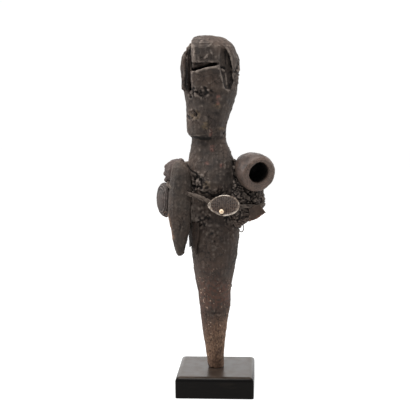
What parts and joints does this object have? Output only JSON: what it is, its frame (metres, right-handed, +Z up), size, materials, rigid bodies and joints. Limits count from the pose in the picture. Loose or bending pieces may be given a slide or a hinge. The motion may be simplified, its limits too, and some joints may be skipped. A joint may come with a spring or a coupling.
{
  "type": "bocio figure",
  "caption": "Worn wooden stake figure with a hooded head, caked in dried clay, with a small gourd, a peg, a shell and pods bound to its chest, standing on a square block plinth.",
  "frame": {"origin": "middle of the plinth's underside", "axes": "+Z up along the figure, the figure looks along -Y, +X to the right of someone facing it"},
  "size_m": [0.108, 0.0702, 0.3206],
  "materials": {
    "plinth_lacquer": "satin black lacquer",
    "caked_wood": "matte, caked in dried clay and old offerings",
    "gourd_rind": "worn light brown rind",
    "dried_clay": "matte, cracked",
    "dry_hide": "matte, raw reddish edge",
    "clay_coat": "wood under a matte clay coat",
    "pod_husk": "matte husk",
    "disc_husk": "matte ridged husk",
    "dark_metal": "rusted, matte",
    "crusted_cord": "plant fibre cord, coated with clay",
    "worn_shell": "worn, shiny at the rim",
    "pale_bead": "satin",
    "dark_bark": "matte, ragged"
  },
  "bodies": {
    "root": {"plinth": "plinth_lacquer", "carved_figure": "caked_wood", "medicine_gourd": "gourd_rind", "right_clay_pack": "dried_clay", "hide_flap": "dry_hide", "bound_peg": "clay_coat", "left_clay_pack": "dried_clay", "knobbed_pod": "pod_husk", "ridged_disc": "disc_husk", "disc_ring": "dark_metal", "lashing_cord": "crusted_cord", "chest_shell": "worn_shell", "shell_bead": "pale_bead", "bark_strip": "dark_bark", "thin_cord": "crusted_cord", "cord_loop": "crusted_cord"}
  },
  "joints": []
}
